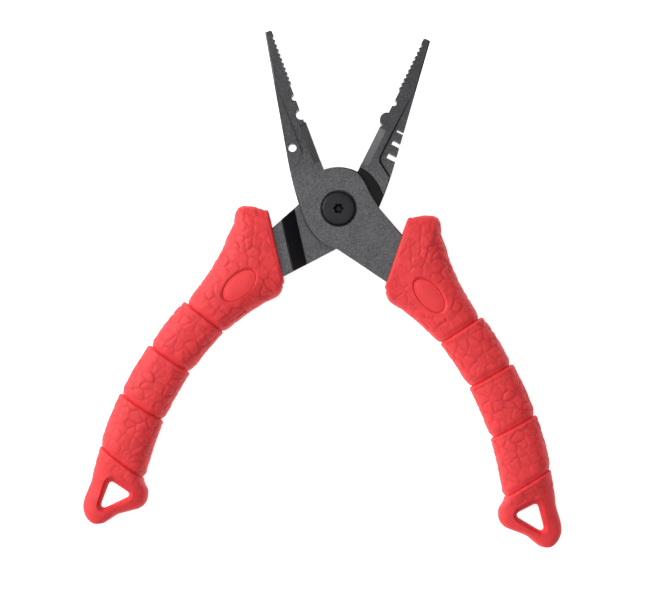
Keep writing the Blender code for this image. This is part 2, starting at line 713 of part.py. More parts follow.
def oval_outline(extra):
    """The oval pad, lined up with the handle and this much larger all round."""
    steps = 24
    points = []
    for step in range(steps):
        angle = 2 * math.pi * step / steps
        along = OVAL_ALONG + (OVAL_LENGTH / 2 + extra) * math.cos(angle)
        points.append(on_handle(along, OVAL_OUT + (OVAL_WIDTH / 2 + extra) * math.sin(angle)))
    return points


def make_grip(half):
    core = half.add("grip_core", loft(core_stations(0), 16), RED_NYLON)
    reach = SKIN_THICKNESS / 2 - OVAL_SUNK
    pad = half.add("oval_pad", slab(oval_outline(0), MIDDLE - reach, MIDDLE + reach))
    change(core, pad, "UNION")
    tang_reach = TANG_THICKNESS / 2 + FIT
    pocket = slab(tang_tail(SHOULDER - 1, FIT), MIDDLE - tang_reach, MIDDLE + tang_reach)
    half.cut(core, "tang_pocket", pocket)
    grip = half.add("grip", loft(grip_stations(), 24), RED_RUBBER)
    near = COLLAR - 2
    far = SHOULDER + FIT + 0.05
    sides = [tang_sides(near), tang_sides(far)]
    mouth = [
        past_boss(near, sides[0][0] - FIT),
        past_boss(far, sides[1][0] - FIT),
        past_boss(far, sides[1][1] + FIT),
        past_boss(near, sides[0][1] + FIT),
    ]
    half.cut(grip, "mouth", slab(mouth, -FIT, LEVER_THICKNESS + FIT))
    half.cut(grip, "core_cavity", loft(core_stations(FIT), 16))
    half.cut(grip, "oval_window", slab(oval_outline(OVAL_GROOVE), MIDDLE - OUTSIDE, MIDDLE + OUTSIDE))
    corners = [on_handle(LAST_STEP + past, out) for past, out in LOOP_HOLE]
    half.cut(grip, "lanyard_hole", slab(rounded(corners, LOOP_CORNER), MIDDLE - OUTSIDE, MIDDLE + OUTSIDE))


def main():
    for old in list(bpy.data.objects):
        bpy.data.objects.remove(old)
    front = Half("front", JAW_OPENING / 2, over=False)
    rear = Half("rear", -JAW_OPENING / 2, over=True)
    make_front_lever(front)
    make_rear_lever(rear)
    make_pivot_sleeve(rear.axis.name)
    make_pivot_screw(rear.axis.name)
    make_washers(rear.axis.name)
    for half in (front, rear):
        make_grip(half)


main()
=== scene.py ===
# %% [markdown]
# # Fishing pliers
#
# The pliers lie open on a pale table, seen from straight above. Two coated steel levers cross in a
# lap joint, and each handle wears a soft red grip over a hard red core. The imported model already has
# every piece in its place, in metres, so this lesson gives it what a maker adds last: moulded grips
# with a cracked-leather relief, and finishes.

import math

import bmesh
import bpy
import numpy as np
from mathutils import Matrix, Vector, noise


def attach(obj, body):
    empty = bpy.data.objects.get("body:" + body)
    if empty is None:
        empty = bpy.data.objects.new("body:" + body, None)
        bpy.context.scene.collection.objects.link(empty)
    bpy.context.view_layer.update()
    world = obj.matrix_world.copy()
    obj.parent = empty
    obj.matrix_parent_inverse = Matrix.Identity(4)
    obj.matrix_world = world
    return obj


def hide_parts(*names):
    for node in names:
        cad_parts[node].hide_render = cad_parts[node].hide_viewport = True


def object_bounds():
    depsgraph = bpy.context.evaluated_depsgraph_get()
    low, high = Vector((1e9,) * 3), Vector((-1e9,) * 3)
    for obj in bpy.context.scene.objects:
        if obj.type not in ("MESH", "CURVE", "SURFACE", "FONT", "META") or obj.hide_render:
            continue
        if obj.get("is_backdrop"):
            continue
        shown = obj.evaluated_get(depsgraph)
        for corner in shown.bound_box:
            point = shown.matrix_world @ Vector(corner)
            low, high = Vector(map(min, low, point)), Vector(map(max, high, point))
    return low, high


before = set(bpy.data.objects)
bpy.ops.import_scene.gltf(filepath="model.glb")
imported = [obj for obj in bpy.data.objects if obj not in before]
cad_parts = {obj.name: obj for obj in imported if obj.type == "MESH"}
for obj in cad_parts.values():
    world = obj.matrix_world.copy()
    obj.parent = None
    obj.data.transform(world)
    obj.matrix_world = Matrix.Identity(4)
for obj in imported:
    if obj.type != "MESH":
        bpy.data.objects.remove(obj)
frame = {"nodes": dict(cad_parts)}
nodes = frame["nodes"]
cad_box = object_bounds()

# %% [markdown]
# ## Working in millimetres
#
# The grips were drawn once, with the pliers closed: the jaw at -x and the handle at +x. The front half
# is that drawing turned about the pivot by half the jaws' opening. The rear half is the drawing turned
# over, which is half a turn about the Y axis, and then turned the other way. Two matrices say this, so a
# grip is modelled once and placed twice.

# %% The two places of the drawing
MM = 0.001
MIDDLE = 4.5  # half the levers' thickness
HALF_OPENING = math.radians(23.5)
to_metres = Matrix.Scale(MM, 4)
turned_over = Matrix.Translation((0, 0, 2 * MIDDLE)) @ Matrix.Rotation(math.pi, 4, "Y")
place = {
    "front": to_metres @ Matrix.Rotation(HALF_OPENING, 4, "Z"),
    "rear": to_metres @ Matrix.Rotation(-HALF_OPENING, 4, "Z") @ turned_over,
}

# %% [markdown]
# ## The handle's own ruler
#
# A handle is a long arc. It is easier to say "17 mm along the handle and 3 mm out from it" than to give x
# and y. These two helpers turn such places into points, one for the straight collar next to the joint
# and one for the arc.

# %% Places on the tang and along the handle
COLLAR = 22.2  # pivot to the grip's first edge
TANG_ANGLE = -39.1
HANDLE_RADIUS = 141.5
HANDLE_START_ANGLE = 27.5
HANDLE_SHIFT = -8.46


def direction(degrees):
    return np.array([math.cos(math.radians(degrees)), math.sin(math.radians(degrees))])


def past_boss(distance, sideways):
    return direction(TANG_ANGLE) * distance + direction(TANG_ANGLE + 90) * sideways


def on_handle(along, outwards):
    start = past_boss(COLLAR, HANDLE_SHIFT)
    centre = start - direction(HANDLE_START_ANGLE) * HANDLE_RADIUS
    angle = HANDLE_START_ANGLE - math.degrees(along / HANDLE_RADIUS)
    return centre + direction(angle) * (HANDLE_RADIUS + outwards)


print("handle starts at", on_handle(0, 0).round(2), "and passes", on_handle(100, 0).round(2))

# %% [markdown]
# ## The grip as a row of slices
#
# A moulded grip is a loft: a row of rounded slices along the handle. Each slice is a superellipse, a
# rounded box that grows squarer as its exponent grows. A slice is stored as seven numbers: its inner
# and outer end (x and y each), its thickness, its squareness, and how deep the leather relief is there.
#
# The collar and the thumb guard come first. The guard is a horn with flat facets, so its slices are
# joined by straight lines.

# %% Slices of the collar and the thumb guard
COLLAR_THICKNESS = 13.2
SKIN_THICKNESS = 14.6
SQUARE_COLLAR = 4.5
SQUARE_GRIP = 2.7
GUARD = (
    ((6.6, -11.0), (-3.3, 13.5)),
    ((8.0, -11.7), (-1.3, 16.2)),
    ((8.9, -12.0), (0.6, 18.0)),
    ((9.7, -12.1), (2.1, 18.6)),
    ((10.5, -12.1), (3.7, 17.9)),
    ((11.6, -11.9), (6.1, 15.4)),
    ((12.8, -11.6), (8.7, 14.2)),
    ((15.0, -11.1), (13.8, 11.3)),
    ((20.0, -10.0), (20.0, 9.1)),
    ((25.5, -9.2), (26.0, 8.1)),
)


def slice_of(inner, outer, thickness, squareness, relief, depth=0.0):
    """One slice, drawn in by depth all round."""
    inner, outer = np.array(inner), np.array(outer)
    inwards = (outer - inner) / np.linalg.norm(outer - inner) * depth
    return np.array([*(inner + inwards), *(outer - inwards), thickness - 2 * depth, squareness, relief])


COLLAR_ENDS = (-20.2, 4.9)  # along the collar line
COLLAR_EDGE = ((0.3, 0.9), (0.45, 0.4), (0.9, 0.08), (1.6, 0.0))  # distance past the edge, and depth
guard_slices = []
for back, depth in COLLAR_EDGE:
    ends = [past_boss(COLLAR + back, sideways) for sideways in COLLAR_ENDS]
    guard_slices.append(slice_of(*ends, COLLAR_THICKNESS, SQUARE_COLLAR, 0, depth))
for number, (inner, outer) in enumerate(GUARD, 1):
    share = min(1, number / 6)
    thickness = COLLAR_THICKNESS + (SKIN_THICKNESS - COLLAR_THICKNESS) * share
    squareness = SQUARE_COLLAR + (SQUARE_GRIP - SQUARE_COLLAR) * share
    relief = 0.5 + 0.5 * share
    guard_slices.append(slice_of(on_handle(*inner), on_handle(*outer), thickness, squareness, relief))
print(len(guard_slices), "slices in the collar and guard")

# %% [markdown]
# ## The segments
#
# Five sections overlap like shingles: the guard, three segments and the loop. Each one slopes down into
# a smooth neck, and the next one starts with a raised lip over a narrow crevice, so there are four
# steps. The crevice is a real groove, because a groove keeps its dark line from every side, while a
# painted line would not.

# %% Slices of the segments
FIRST_STEP = 33.2
PITCH = 17.25
SLANTS = (-0.6, 0.5, 2.3, 6.0)  # how much later the inner side steps
WIDTHS = (  # half-widths at a segment's start and end: inner, then outer
    ((9.2, 8.1), (8.5, 7.7)),
    ((8.0, 8.35), (7.3, 8.6)),
    ((7.4, 8.9), (7.4, 9.0)),
    ((7.6, 9.1), (8.7, 8.6)),
)
NECK = (  # distance before the step, and depth
    (2.5, 0.0),
    (2.0, 0.08),
    (1.5, 0.26),
    (1.05, 0.45),
    (0.64, 0.56),
    (0.4, 1.0),
    (0.16, 1.05),
)
LIP = ((-0.02, 0.6), (-0.14, 0.22), (-0.36, 0.02), (-0.7, -0.05), (-1.5, 0.0))
CROWN = 0.12  # a segment's swell at its middle
steps = [FIRST_STEP + index * PITCH for index in range(len(SLANTS))]


def segment_slice(along, slant, widths, relief, depth):
    inner, outer = on_handle(along + slant, -widths[0]), on_handle(along, widths[1])
    return slice_of(inner, outer, SKIN_THICKNESS, SQUARE_GRIP, relief, depth)


segment_slices = []
for index, (step, slant) in enumerate(zip(steps, SLANTS)):
    for back, depth in NECK:
        relief = 0.8 * max(0, back - 1) / 1.5
        segment_slices.append(segment_slice(step - back, slant, WIDTHS[index][1], relief, depth))
    if index + 1 == len(steps):
        break
    start, end = np.array(WIDTHS[index + 1])
    for back, depth in LIP:
        segment_slices.append(segment_slice(step - back, slant, start, min(1, -back + 0.02), depth))
    for share in np.linspace(0.14, 0.8, 7):
        widths = start + (end - start) * share
        lean = slant + (SLANTS[index + 1] - slant) * share
        swell = -CROWN * math.sin(math.pi * share)
        relief = 1 if share < 0.65 else 0.85
        segment_slices.append(segment_slice(step + PITCH * share, lean, widths, relief, swell))
print(len(segment_slices), "slices in the segments")

# %% [markdown]
# ## The lanyard loop
#
# The last piece of the grip thins out into a rounded three-cornered tail with a hole for a cord. Its
# corners are soft, so its slices are joined by a smooth curve instead of straight lines. A Catmull-Rom
# curve does that: it passes through every slice, and needs no handles.

# %% Slices of the loop, and the curve that joins slices
LAST_STEP = steps[-1]
LOOP = (
    ((8.0, -9.7), (3.4, 8.2), 13.4),
    ((9.6, -11.0), (8.0, 8.0), 11.4),
    ((13.2, -11.4), (11.2, 7.8), 10.2),
    ((16.0, -9.9), (14.3, 8.2), 9.4),
    ((17.9, -6.8), (17.0, 8.6), 8.8),
    ((19.8, -3.3), (19.6, 8.5), 8.4),
    ((22.0, -1.0), (22.0, 7.4), 8.2),
    ((23.5, 0.7), (23.5, 5.9), 7.4),
    ((24.1, 2.3), (24.1, 4.7), 6.0),
)
loop_slices = []
for back, depth in LIP[:-1]:
    ends = (on_handle(LAST_STEP - back + SLANTS[-1], -8.7), on_handle(LAST_STEP - back, 8.3))
    loop_slices.append(slice_of(*ends, SKIN_THICKNESS, SQUARE_GRIP, 0.4, depth))
for number, (inner, outer, thickness) in enumerate(LOOP):
    ends = [on_handle(LAST_STEP + past, out) for past, out in (inner, outer)]
    loop_slices.append(slice_of(*ends, thickness, SQUARE_GRIP, max(0, 0.7 - 0.25 * number)))


def straight(slices, spacing):
    """More slices between these, on straight lines."""
    filled = []
    for first, second in zip(slices, slices[1:]):
        ends = (first[:2] - second[:2], first[2:4] - second[2:4])
        count = max(1, math.ceil(max(np.linalg.norm(end) for end in ends) / spacing))
        filled += [first + (second - first) * part / count for part in range(count)]
    return filled + [slices[-1]]


def smooth(slices, spacing):
    """More slices between these, on a Catmull-Rom curve."""
    filled = []
    padded = [2 * slices[0] - slices[1], *slices, 2 * slices[-1] - slices[-2]]
    for before, first, second, after in zip(padded, padded[1:], padded[2:], padded[3:]):
        ends = (first[:2] - second[:2], first[2:4] - second[2:4])
        count = max(1, math.ceil(max(np.linalg.norm(end) for end in ends) / spacing))
        for t in np.arange(count) / count:
            pull = (2 * before - 5 * first + 4 * second - after) * t * t
            push = (3 * first - before - 3 * second + after) * t**3
            filled.append(0.5 * (2 * first + (second - before) * t + pull + push))
    return filled + [slices[-1]]


SPACING = 0.42
slices = straight(guard_slices + segment_slices, SPACING)
slices += straight([segment_slices[-1], *loop_slices[:4]], SPACING)[1:]
slices += smooth(loop_slices[3:], SPACING)[1:]
slices = np.array(slices)
print(len(slices), "slices in the whole grip")

# %% [markdown]
# ## Skinning the slices
#
# Every slice gets the same number of points, evenly spaced around its rim, so that neighbouring slices
# join with small square faces. Evenly spaced points need a second pass: the rim is drawn with many
# points, and its length is then shared out. Each point also keeps the direction that points straight
# out of the rim, because the relief is pressed in along it.

# %% Points and outward directions of every slice
ROUND = 132


def rim(width, thickness, squareness):
    """Evenly spaced points of a superellipse and its outward directions, across and up."""
    angle = np.linspace(0, 2 * math.pi, 721)
    power = 2 / squareness
    across = np.sign(np.cos(angle)) * np.abs(np.cos(angle)) ** power * width / 2
    up = np.sign(np.sin(angle)) * np.abs(np.sin(angle)) ** power * thickness / 2
    walked = np.concatenate([[0], np.cumsum(np.hypot(np.diff(across), np.diff(up)))])
    wanted = np.arange(ROUND) / ROUND * walked[-1]
    across, up = np.interp(wanted, walked, across), np.interp(wanted, walked, up)
    slope_across = np.sign(across) * np.abs(2 * across / width) ** (squareness - 1) / width
    slope_up = np.sign(up) * np.abs(2 * up / thickness) ** (squareness - 1) / thickness
    length = np.hypot(slope_across, slope_up) + 1e-9
    return across, up, slope_across / length, slope_up / length


points = np.zeros((len(slices), ROUND, 3))
outwards = np.zeros_like(points)
for index, (x1, y1, x2, y2, thickness, squareness, _) in enumerate(slices):
    width = math.hypot(x2 - x1, y2 - y1)
    side = np.array([x2 - x1, y2 - y1]) / width
    across, up, out_across, out_up = rim(width, thickness, squareness)
    points[index, :, :2] = np.array([x1 + x2, y1 + y2]) / 2 + across[:, None] * side
    points[index, :, 2] = MIDDLE + up
    outwards[index, :, :2] = out_across[:, None] * side
    outwards[index, :, 2] = out_up
print("grip surface:", points.shape[0] * points.shape[1], "points")

# %% [markdown]
# ## The cracked-leather relief
#
# The skin looks like dry leather: plump cells, two to four millimetres wide, with shallow grooves
# between them. A Voronoi pattern gives such cells: every place belongs to the nearest of many scattered
# seeds, and two cells meet where two seeds are equally far. The pattern is flat, and the skin is rolled
# out onto it: each point moves sideways from its slice's middle by its distance round the rim. So no
# cell is stretched where the skin curves down. The top and the bottom roll out onto the same pattern and
# meet at the mould's parting line.
#
# The seeds are a grid with each one moved by chance, and each cell has its own height and tilt. Both
# sources of chance get a fixed start. Blender's noise would otherwise start from the clock, and every
# run would make a slightly different skin.

# %% Scatter the seeds
CELL = 3.3
GROOVE_DEPTH = 0.28
GROOVE_REACH = 0.5  # from a border to where the skin is level again
CELL_HEIGHT = 0.09
CELL_TILT = 0.06  # millimetres up for each one across
CHANCE_START = 5
chance = np.random.default_rng(CHANCE_START)
noise.seed_set(CHANCE_START)
middles = (slices[:, 0:2] + slices[:, 2:4]) / 2
low, high = middles.min(axis=0) - 27, middles.max(axis=0) + 27
columns, rows = np.meshgrid(np.arange(low[0], high[0], CELL), np.arange(low[1], high[1], CELL))
seeds = np.column_stack([columns.ravel(), rows.ravel()])
seeds += chance.uniform(-0.47, 0.47, seeds.shape) * CELL
own = chance.uniform(-1, 1, (len(seeds), 4))  # each cell's height, groove strength and tilt both ways
print(len(seeds), "seeds")

# %% [markdown]
# The distance from a place to the border of two seeds is exact: it is the difference of the squared
# distances, over twice the distance between the seeds. So every groove is equally wide. A slow noise
# moves each place a little first, so that no border runs straight. The relief fades out towards the oval
# pad, the necks and the loop, which are smooth.

# %% Press the grooves in
OVAL_PLACE = (17.3, -1.4)  # along the handle, and out from it
OVAL_TURN = 20.5
CALM = (7.2, 4.2)  # half the smooth ground round the oval, along and across
OVAL_CENTRE = on_handle(*OVAL_PLACE)
OVAL_OUT = direction(OVAL_TURN)  # across the oval
OVAL_ALONG = direction(OVAL_TURN - 90)  # along it
share = np.arange(ROUND) / ROUND
quarters = np.where(share < 0.5, 0.25 - share, share - 0.75)  # from the crown, in turns
grooves = np.zeros(points.shape[:2])
heights = np.zeros(points.shape[:2])
for index in np.flatnonzero(slices[:, 6] > 0):
    side = slices[index, 2:4] - slices[index, 0:2]
    turn = np.linalg.norm(points[index] - np.roll(points[index], 1, axis=0), axis=1).sum()
    places = middles[index] + turn * quarters[:, None] * side / np.linalg.norm(side)
    places += [0.7 * noise.noise_vector(Vector((x, y, 0)) / 2.4).xy for x, y in places]
    near = np.linalg.norm(seeds - middles[index], axis=1) < turn / 4 + 3 * CELL
    near_seeds, near_own = seeds[near], own[near]
    squared = np.sum((places[:, None] - near_seeds) ** 2, axis=2)
    first, second = np.argsort(squared, axis=1)[:, :2].T
    apart = np.linalg.norm(near_seeds[first] - near_seeds[second], axis=1)
    border = (squared[np.arange(ROUND), second] - squared[np.arange(ROUND), first]) / (2 * apart)
    pressed = np.minimum(1, 0.75 + 0.3 * (near_own[first, 1] + near_own[second, 1]))
    away = points[index, :, :2] - OVAL_CENTRE
    from_oval = np.hypot(away @ OVAL_ALONG / CALM[0], away @ OVAL_OUT / CALM[1]) - 1
    calm = np.clip(3 * from_oval, 0, 1) * slices[index, 6]
    groove = np.clip(1 - border / GROOVE_REACH, 0, 1)
    grooves[index] = groove * groove * (3 - 2 * groove) * pressed * calm
    tilted = CELL_TILT * np.sum(near_own[first, 2:] * (places - near_seeds[first]), axis=1)
    heights[index] = (CELL_HEIGHT * near_own[first, 0] + tilted) * np.minimum(1, border / 0.8) * calm
depth = GROOVE_DEPTH * grooves - heights
points -= outwards * depth[:, :, None]
print("deepest groove", round(float(depth.max()), 2), "mm, highest cell", round(float(-depth.min()), 2), "mm")

# %% [markdown]
# ## From points to a mesh
#
# The slices are joined by quads, and the first and last slice are closed with one face each. The groove
# depth is stored on the points as an attribute named "relief". The material reads it later and paints
# shade into the bottom of each groove.

# %% Build the grip's mesh


def drawn_mesh(name, vertices, faces):
    mesh = bpy.data.meshes.new(name)
    mesh.from_pydata([tuple(vertex) for vertex in vertices], [], faces)
    mesh.update()
    return mesh


faces = []
for index in range(len(slices) - 1):
    for number in range(ROUND):
        after = (number + 1) % ROUND
        low, high = index * ROUND, (index + 1) * ROUND
        faces.append((low + number, low + after, high + after, high + number))
faces.append(tuple(range(ROUND))[::-1])
faces.append(tuple(range((len(slices) - 1) * ROUND, len(slices) * ROUND)))
grip_mesh = drawn_mesh("grip_drawn", points.reshape(-1, 3), faces)
grip_mesh.attributes.new("relief", "FLOAT", "POINT").data.foreach_set("value", grooves.ravel())
grip_drawn = bpy.data.objects.new("grip_drawn", grip_mesh)
bpy.context.scene.collection.objects.link(grip_drawn)
print("grip mesh:", len(grip_mesh.vertices), "points,", len(grip_mesh.polygons), "faces")

# %% [markdown]
# ## Cutters
#
# Four things are cut out of the grip: the mouth that takes the lever's shoulder, the cavity for the
# hard core, the oval window over the core's pad, and the lanyard hole. A cutter is an outline at several
# heights. Where the outline widens towards the skin, the cut gets a soft flared rim, as a mould leaves,
# and not a knife edge.

# %% Outlines and the cutters made from them


def rounded(corners, radius, parts=8):
    """The outline with each corner turned into a curve."""
    outline = []
    for index, corner in enumerate(corners):
        here = Vector(corner)
        before = (Vector(corners[index - 1]) - here).normalized()
        after = (Vector(corners[(index + 1) % len(corners)]) - here).normalized()
        reach = radius / math.tan(before.angle(after) / 2)
        first, last = here + before * reach, here + after * reach
        for t in np.linspace(0, 1, parts):
            outline.append(first * (1 - t) ** 2 + here * 2 * t * (1 - t) + last * t * t)
    return np.array([tuple(point) for point in outline])


def widened(outline, extra):
    """The outline moved outwards by extra."""
    along = np.roll(outline, -1, axis=0) - np.roll(outline, 1, axis=0)
    out = np.column_stack([along[:, 1], -along[:, 0]]) / np.linalg.norm(along, axis=1)[:, None]
    area = np.sum(outline[:, 0] * np.roll(outline[:, 1], -1) - outline[:, 1] * np.roll(outline[:, 0], -1))
    return outline + out * extra * (1 if area > 0 else -1)


def stacked(name, rings):
    """A closed solid from rings of points, one above or beyond the other."""
    count = len(rings[0])
    sides = []
    for level in range(len(rings) - 1):
        for number in range(count):
            after = (number + 1) % count
            low, high = level * count, (level + 1) * count
            sides.append((low + number, low + after, high + after, high + number))
    ends = [tuple(range(count)), tuple(range((len(rings) - 1) * count, len(rings) * count))]
    mesh = drawn_mesh(name, np.vstack(rings), sides + ends)
    solid = bmesh.new()
    solid.from_mesh(mesh)
    bmesh.ops.recalc_face_normals(solid, faces=solid.faces)
    solid.to_mesh(mesh)
    solid.free()
    made = bpy.data.objects.new(name, mesh)
    bpy.context.scene.collection.objects.link(made)
    return made


def upright(name, outline, levels):
    """A solid whose outline is widened by its own amount at each height."""
    rings = []
    for height, extra in levels:
        ring = widened(outline, extra)
        rings.append(np.column_stack([ring, np.full(len(ring), height)]))
    return stacked(name, rings)


def both_ways(levels):
    """Heights above the middle, repeated below it."""
    below = [(MIDDLE - height, extra) for height, extra in reversed(levels)]
    return below + [(MIDDLE + height, extra) for height, extra in levels]


# %% [markdown]
# The hole's rim flares out over its whole height, like the inside of a ring, so that a cord never runs
# over an edge. The oval window only flares near the skin.

# %% The hole, the window, the mouth and the cavity
FIT = 0.3
OVAL = (12.4, 6.4)
HOLE_CORNERS = [on_handle(LAST_STEP + past, out) for past, out in ((12.4, -5.9), (9.9, 1.7), (19.4, 2.9))]
hole_levels = [(height, 0.25 + 1.7 * (height / 5) ** 2) for height in (0.5, 1, 1.5, 2, 2.5, 3, 3.5, 4, 5, 7)]
hole_cutter = upright("hole_cutter", rounded(HOLE_CORNERS, 1.1), both_ways(hole_levels))


def oval_ring(extra, parts=64):
    ring = []
    for angle in np.linspace(0, 2 * math.pi, parts, endpoint=False):
        along = OVAL_PLACE[0] + (OVAL[0] / 2 + extra) * math.cos(angle)
        ring.append(on_handle(along, OVAL_PLACE[1] + (OVAL[1] / 2 + extra) * math.sin(angle)))
    return np.array(ring)


window_levels = [(2, 0.0), (6.75, 0.0), (6.85, 0.06), (6.95, 0.18), (7.1, 0.45), (7.25, 0.85), (8.25, 1.6)]
window_cutter = upright("window_cutter", oval_ring(0.4), both_ways(window_levels))

MOUTH = ((20.2, -17.36), (25.55, -18.8), (25.55, -3.09), (20.2, 0.09))  # past the boss, and sideways
mouth = [past_boss(*corner) for corner in MOUTH]
mouth_cutter = upright("mouth_cutter", np.array(mouth), [(-FIT, 0), (2 * MIDDLE + FIT, 0)])

SHOULDER = 25.2  # pivot to where the cavity starts
TANG_SHIFT = -9.5  # the tang's middle, along the collar line
CORE_END = LAST_STEP - 0.95
CAVITY_HALF_WIDTH = 5.3
CAVITY_FLARE = 1.3  # wider at the shoulder
CAVITY_FLARE_END = 0.4  # share of the core's length
CAVITY_THICKNESS = 10.0
SQUARE_CORE = 4.0
core_rings = []
for share in (0, 0.14, 0.25, 0.4, 0.6, 0.8, 1):
    half_width = CAVITY_HALF_WIDTH + CAVITY_FLARE * max(0, 1 - share / CAVITY_FLARE_END)
    along = CORE_END * share + (FIT if share == 1 else 0)
    ends = [on_handle(along, -half_width), on_handle(along, half_width)]
    if share == 0:
        ends = [past_boss(SHOULDER, TANG_SHIFT - half_width), past_boss(SHOULDER, TANG_SHIFT + half_width)]
    centre, side = (ends[0] + ends[1]) / 2, (ends[1] - ends[0]) / (2 * half_width)
    across, up, _, _ = rim(2 * half_width, CAVITY_THICKNESS, SQUARE_CORE)
    core_rings.append(np.column_stack([centre + across[:, None] * side, MIDDLE + up])[::4])
core_cutter = stacked("core_cutter", core_rings)
print("cutters ready")

# %% [markdown]
# ## Cutting, and placing both grips
#
# Each cut is a Boolean modifier with the exact solver. The result is taken from the dependency graph as
# a new mesh, so the finished grips carry no modifiers. Then the one mesh is copied and moved into both
# halves' places. Sharp edges are marked by angle: the lips and the rims stay crisp and the rest is smooth.

# %% Cut and place the grips
for cutter in (core_cutter, mouth_cutter, window_cutter, hole_cutter):
    cut = grip_drawn.modifiers.new(cutter.name, "BOOLEAN")
    cut.operation = "DIFFERENCE"
    cut.solver = "EXACT"
    cut.object = cutter
graph = bpy.context.evaluated_depsgraph_get()
cut_mesh = bpy.data.meshes.new_from_object(grip_drawn.evaluated_get(graph))
for helper in (grip_drawn, core_cutter, mouth_cutter, window_cutter, hole_cutter):
    bpy.data.objects.remove(helper)

grips = {}
for half, matrix in place.items():
    mesh = cut_mesh.copy()
    mesh.transform(matrix)
    mesh.shade_smooth()
    mesh.set_sharp_from_angle(angle=math.radians(42))
    grip = bpy.data.objects.new(half + "_grip_skin", mesh)
    bpy.context.scene.collection.objects.link(grip)
    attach(grip, half + "_half")
    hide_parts(half + "_grip")
    grips[half] = grip
    print(grip.name, len(mesh.polygons), "faces")

# %% [markdown]
# ## The oval pads
#
# The hard core comes up through the window as a smooth pad for the thumb. It is slightly domed, with a
# soft edge, and it stands a hair below the skin, so the light draws a thin ring round it. Rings of one
# oval that shrink as they rise give the dome. One cap faces each way.

# %% Domed caps on the core's pads
PAD_TOP = 6.92  # above the middle


def pad_cap(name, up):
    rings = []
    rim_levels = ((0.36, -0.9), (0.36, -0.16), (0.1, -0.15), (-0.1, -0.11), (-0.26, -0.04), (-0.4, 0.0))
    for extra, height in rim_levels:
        rings.append((oval_ring(extra), PAD_TOP + height))
    for share in np.linspace(0.1, 0.97, 9):
        shrink = -0.4 - share * (OVAL[1] / 2 - 0.48)
        rings.append((oval_ring(shrink), PAD_TOP + 0.25 * (1 - (1 - share) ** 2)))
    return stacked(name, [np.column_stack([ring, np.full(len(ring), MIDDLE + up * z)]) for ring, z in rings])


for half, matrix in place.items():
    for side, up in (("top", 1), ("bottom", -1)):
        cap = pad_cap(f"{half}_oval_pad_{side}", up)
        cap.data.transform(matrix)
        cap.data.shade_smooth()
        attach(cap, half + "_half")
        nodes[cap.name] = cap
print("four caps, each", len(cap.data.polygons), "faces")

# %% [markdown]
# ## The pivot screw
#
# A screw is a turned part: a profile of radius and height, swept once round. The head has a low crown
# and a rounded rim. The six-lobe socket is then cut in, a little wider at its mouth, as a punch leaves it.

# %% Turn the screw and cut its socket
SHANK = ((2.0, 1.5), (2.4, 1.9), (2.4, 7.5))
HEAD_RIM = ((5.3, 7.5), (5.45, 7.65), (5.45, 8.45), (5.36, 8.7), (5.16, 8.87), (4.85, 8.95))
profile = list(SHANK + HEAD_RIM) + [(r, 9.0 + 0.2 * (1 - (r / 4.6) ** 2)) for r in (4.2, 3.2, 2.2, 1.2, 0.4)]
around = np.linspace(0, 2 * math.pi, 96, endpoint=False)
turned_rings = []
for radius, height in profile:
    ring = [np.cos(around) * radius, np.sin(around) * radius, np.full(96, height)]
    turned_rings.append(np.column_stack(ring))
screw = stacked("pivot_screw_turned", turned_rings)

lobes = np.linspace(0, 2 * math.pi, 72, endpoint=False)
star = (1.55 + 0.19 * (np.cos(6 * lobes) - 1))[:, None] * np.column_stack([np.cos(lobes), np.sin(lobes)])
socket_levels = [(7.0, -0.5), (7.5, 0.0), (8.9, 0.0), (9.2, 0.28), (9.6, 0.5)]
socket = upright("socket_cutter", star, socket_levels)
cut = screw.modifiers.new("socket", "BOOLEAN")
cut.operation = "DIFFERENCE"
cut.object = socket
graph = bpy.context.evaluated_depsgraph_get()
screw_mesh = bpy.data.meshes.new_from_object(screw.evaluated_get(graph))
screw.modifiers.clear()
screw.data = screw_mesh
bpy.data.objects.remove(socket)
screw_mesh.transform(to_metres)
screw_mesh.shade_smooth()
screw_mesh.set_sharp_from_angle(angle=math.radians(35))
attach(screw, "rear_half")
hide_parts("pivot_screw")
print("screw:", len(screw_mesh.polygons), "faces")

# %% [markdown]
# ## A shared node group: fine grain
#
# Every finish here has some grain: the coated steel, the black screw and the rubber. They share one node
# group. It reads the place on the object, not a flat map, so it needs no unwrapping. It puts out two
# values: a fine height for bump, and a slow blotch for colour and roughness.

# %% Make the grain group


def add_socket(group, name, kind, side, value=None):
    socket = group.interface.new_socket(name=name, in_out=side, socket_type=kind)
    if value is not None:
        socket.default_value = value


grain = bpy.data.node_groups.new("fine_grain", "ShaderNodeTree")
add_socket(grain, "Grain Scale", "NodeSocketFloat", "INPUT", 3000.0)
add_socket(grain, "Blotch Scale", "NodeSocketFloat", "INPUT", 120.0)
add_socket(grain, "Height", "NodeSocketFloat", "OUTPUT")
add_socket(grain, "Blotch", "NodeSocketFloat", "OUTPUT")
entry = grain.nodes.new("NodeGroupInput")
leave = grain.nodes.new("NodeGroupOutput")
where = grain.nodes.new("ShaderNodeTexCoord")
fine = grain.nodes.new("ShaderNodeTexNoise")
slow = grain.nodes.new("ShaderNodeTexNoise")
fine.inputs["Detail"].default_value = 3.0
slow.inputs["Detail"].default_value = 5.0
slow.inputs["Roughness"].default_value = 0.65
for texture, scale, out in ((fine, "Grain Scale", "Height"), (slow, "Blotch Scale", "Blotch")):
    grain.links.new(where.outputs["Object"], texture.inputs["Vector"])
    grain.links.new(entry.outputs[scale], texture.inputs["Scale"])
    grain.links.new(texture.outputs["Fac"], leave.inputs[out])
print("group", grain.name, "puts out", [s.name for s in grain.interface.items_tree if s.in_out == "OUTPUT"])

# %% [markdown]
# ## Building a finish
#
# A finish is a Principled shader, the grain group, a Bump node, and a Mix that turns the blotch into two
# tones. The helper sets these up in the same way each time. What is the same all over the surface,
# such as metallic, is set on the shader itself.

